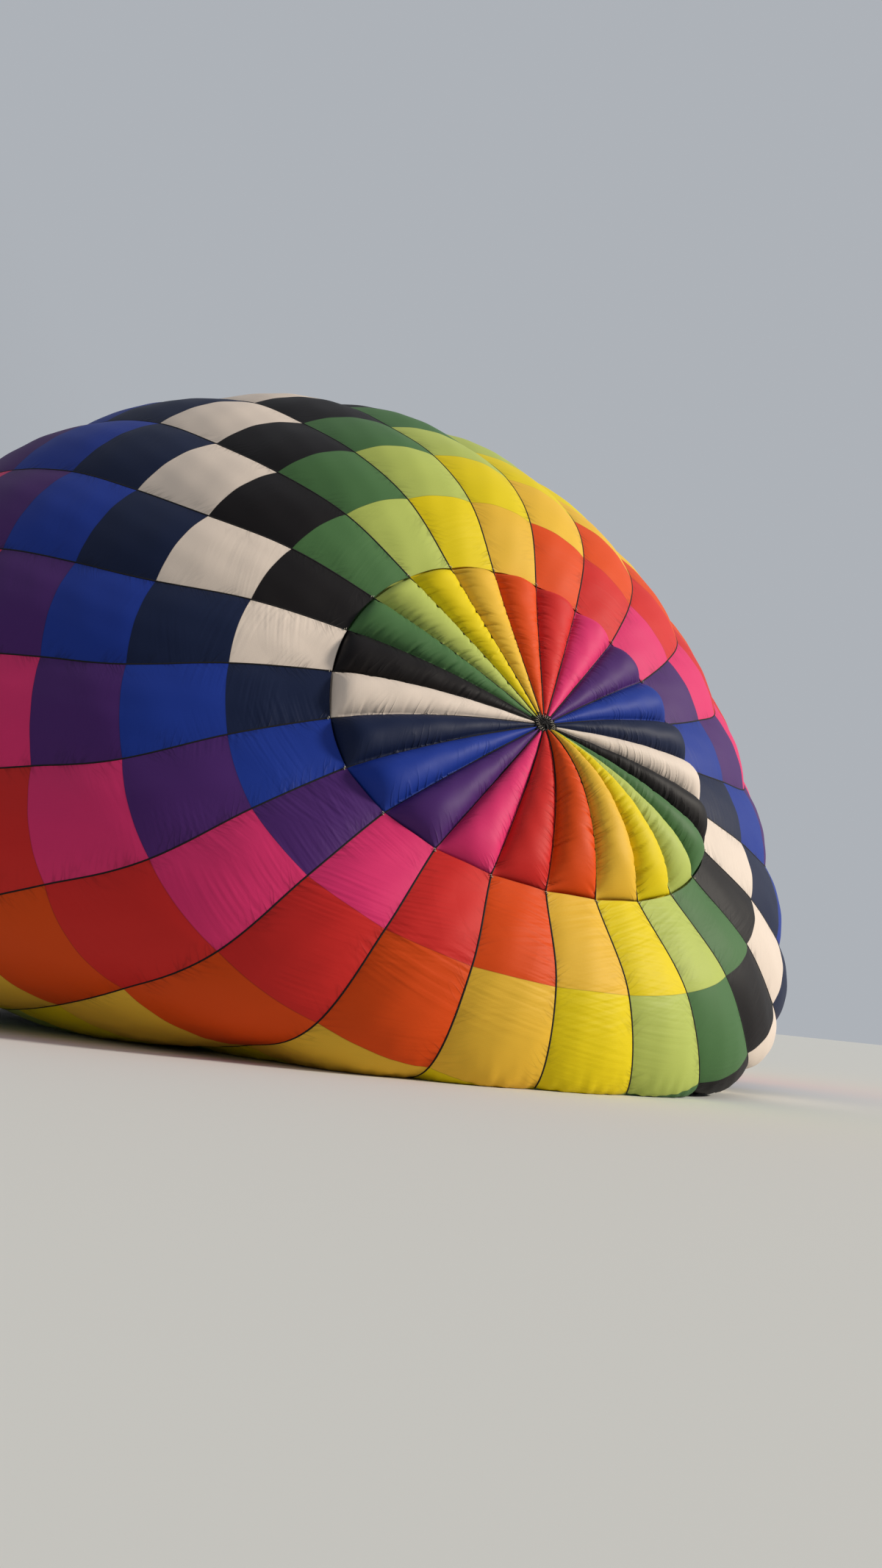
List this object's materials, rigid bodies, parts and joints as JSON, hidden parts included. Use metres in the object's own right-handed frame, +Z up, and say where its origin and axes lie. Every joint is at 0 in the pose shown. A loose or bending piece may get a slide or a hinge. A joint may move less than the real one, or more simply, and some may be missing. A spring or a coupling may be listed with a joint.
{
  "type": "hot air balloon",
  "caption": "Hot air balloon lying on its side during inflation: gored envelope with a spiral of coloured panels, parachute vent, flying wires, burner and wicker basket.",
  "frame": {"origin": "middle of the air in the widest part of the lying envelope, at the mount lift_air; the ground it lies on is 6.3 m below", "axes": "+X along the envelope towards its crown, +Z up, +Y across the envelope"},
  "size_m": [23.3718, 18.5094, 12.6377],
  "materials": {
    "cloth_white": "coated ripstop nylon, white",
    "cloth_navy": "coated ripstop nylon, navy",
    "cloth_blue": "coated ripstop nylon, blue",
    "cloth_purple": "coated ripstop nylon, purple",
    "cloth_pink": "coated ripstop nylon, pink",
    "cloth_red": "coated ripstop nylon, red",
    "cloth_orange": "coated ripstop nylon, orange",
    "cloth_gold": "coated ripstop nylon, gold",
    "cloth_yellow": "coated ripstop nylon, yellow",
    "cloth_light_green": "coated ripstop nylon, light green",
    "cloth_dark_green": "coated ripstop nylon, dark green",
    "cloth_black": "coated ripstop nylon, black",
    "webbing": "black polyester load tape",
    "skirt_cloth": "flame-resistant aramid cloth",
    "stainless_steel": "satin stainless steel",
    "upright_nylon": "nylon rod in a leather sleeve",
    "wicker": "woven willow and cane",
    "plywood": "varnished marine plywood",
    "leather": "padded suede rim",
    "hardwood": "oiled hardwood runner",
    "cylinder_steel": "brushed aluminium and steel fuel cylinder"
  },
  "bodies": {
    "balloon": {"gore_01": "cloth_white", "gore_02": "cloth_navy", "gore_03": "cloth_blue", "gore_04": "cloth_purple", "gore_05": "cloth_pink", "gore_06": "cloth_red", "gore_07": "cloth_orange", "gore_08": "cloth_gold", "gore_09": "cloth_yellow", "gore_10": "cloth_light_green", "gore_11": "cloth_dark_green", "gore_12": "cloth_black", "gore_13": "cloth_white", "gore_14": "cloth_navy", "gore_15": "cloth_blue", "gore_16": "cloth_purple", "gore_17": "cloth_pink", "gore_18": "cloth_red", "gore_19": "cloth_orange", "gore_20": "cloth_gold", "gore_21": "cloth_yellow", "gore_22": "cloth_light_green", "gore_23": "cloth_dark_green", "gore_24": "cloth_black", "crown_ring": "webbing", "mouth_skirt": "skirt_cloth", "flying_wires_lower_right": "stainless_steel", "flying_wires_lower_left": "stainless_steel", "flying_wires_upper_right": "stainless_steel", "flying_wires_upper_left": "stainless_steel", "burner_frame": "stainless_steel", "upright_1": "upright_nylon", "upright_2": "upright_nylon", "upright_3": "upright_nylon", "upright_4": "upright_nylon", "basket_walls": "wicker", "basket_floor": "plywood", "basket_rim": "leather", "skid_lower": "hardwood", "skid_upper": "hardwood", "fuel_cylinder_1": "cylinder_steel", "fuel_cylinder_2": "cylinder_steel", "fuel_cylinder_3": "cylinder_steel", "fuel_cylinder_4": "cylinder_steel"},
    "vent": {"parachute_vent": "cloth_red"},
    "gimbal": {"gimbal_ring": "stainless_steel"},
    "burner": {"burner_left": "stainless_steel", "burner_right": "stainless_steel", "burner_bar": "stainless_steel"}
  },
  "joints": [
    {"name": "vent_slide", "type": "slide", "parent": "balloon", "child": "vent", "axis": [-0.8941, 0, -0.4478], "range_m": [0, 1.2]},
    {"name": "gimbal_tilt", "type": "hinge", "parent": "balloon", "child": "gimbal", "pos_m": [-12.69, 0, -5.7055], "axis": [0, 1, 0], "range_deg": [-15, 15]},
    {"name": "burner_tilt", "type": "hinge", "parent": "gimbal", "child": "burner", "pos_m": [-12.69, 0, -5.7055], "axis": [0, 0, 1], "range_deg": [-15, 15]}
  ]
}
